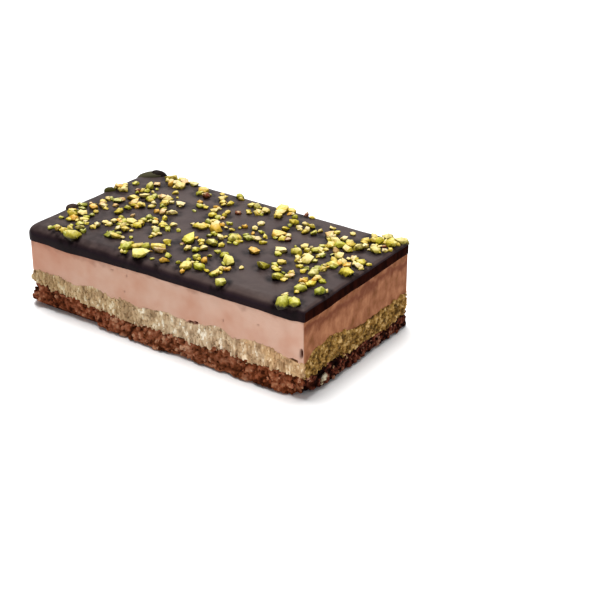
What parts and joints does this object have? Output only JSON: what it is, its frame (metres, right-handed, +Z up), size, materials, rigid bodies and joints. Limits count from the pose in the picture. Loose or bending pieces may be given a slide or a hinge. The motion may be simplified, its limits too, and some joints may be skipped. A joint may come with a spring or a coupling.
{
  "type": "dubai chocolate cake",
  "caption": "Rectangular block of layered chocolate cake: brownie base, kataifi filling, chocolate mousse and a dark glaze strewn with chopped pistachios, cut square at one end.",
  "frame": {"origin": "middle of the cake's footprint, on the surface that it stands on", "axes": "+X along the long sides towards the freshly cut end, -Y out of the front long side, +Z up through the layers to the glaze"},
  "size_m": [0.1667, 0.0945, 0.0469],
  "materials": {
    "chocolate_brownie": "crumbly baked chocolate brownie, dry and dull",
    "kataifi_and_pistachio_cream": "toasted pastry threads bound with pistachio cream, dull and ragged",
    "milk_chocolate_mousse": "smooth cut mousse with fine pits, dull",
    "dark_chocolate_glaze": "set dark chocolate glaze, satin, with yellow-green chopped pistachios"
  },
  "bodies": {
    "root": {"base": "chocolate_brownie", "kataifi_layer": "kataifi_and_pistachio_cream", "mousse": "milk_chocolate_mousse", "glaze": "dark_chocolate_glaze"}
  },
  "joints": []
}
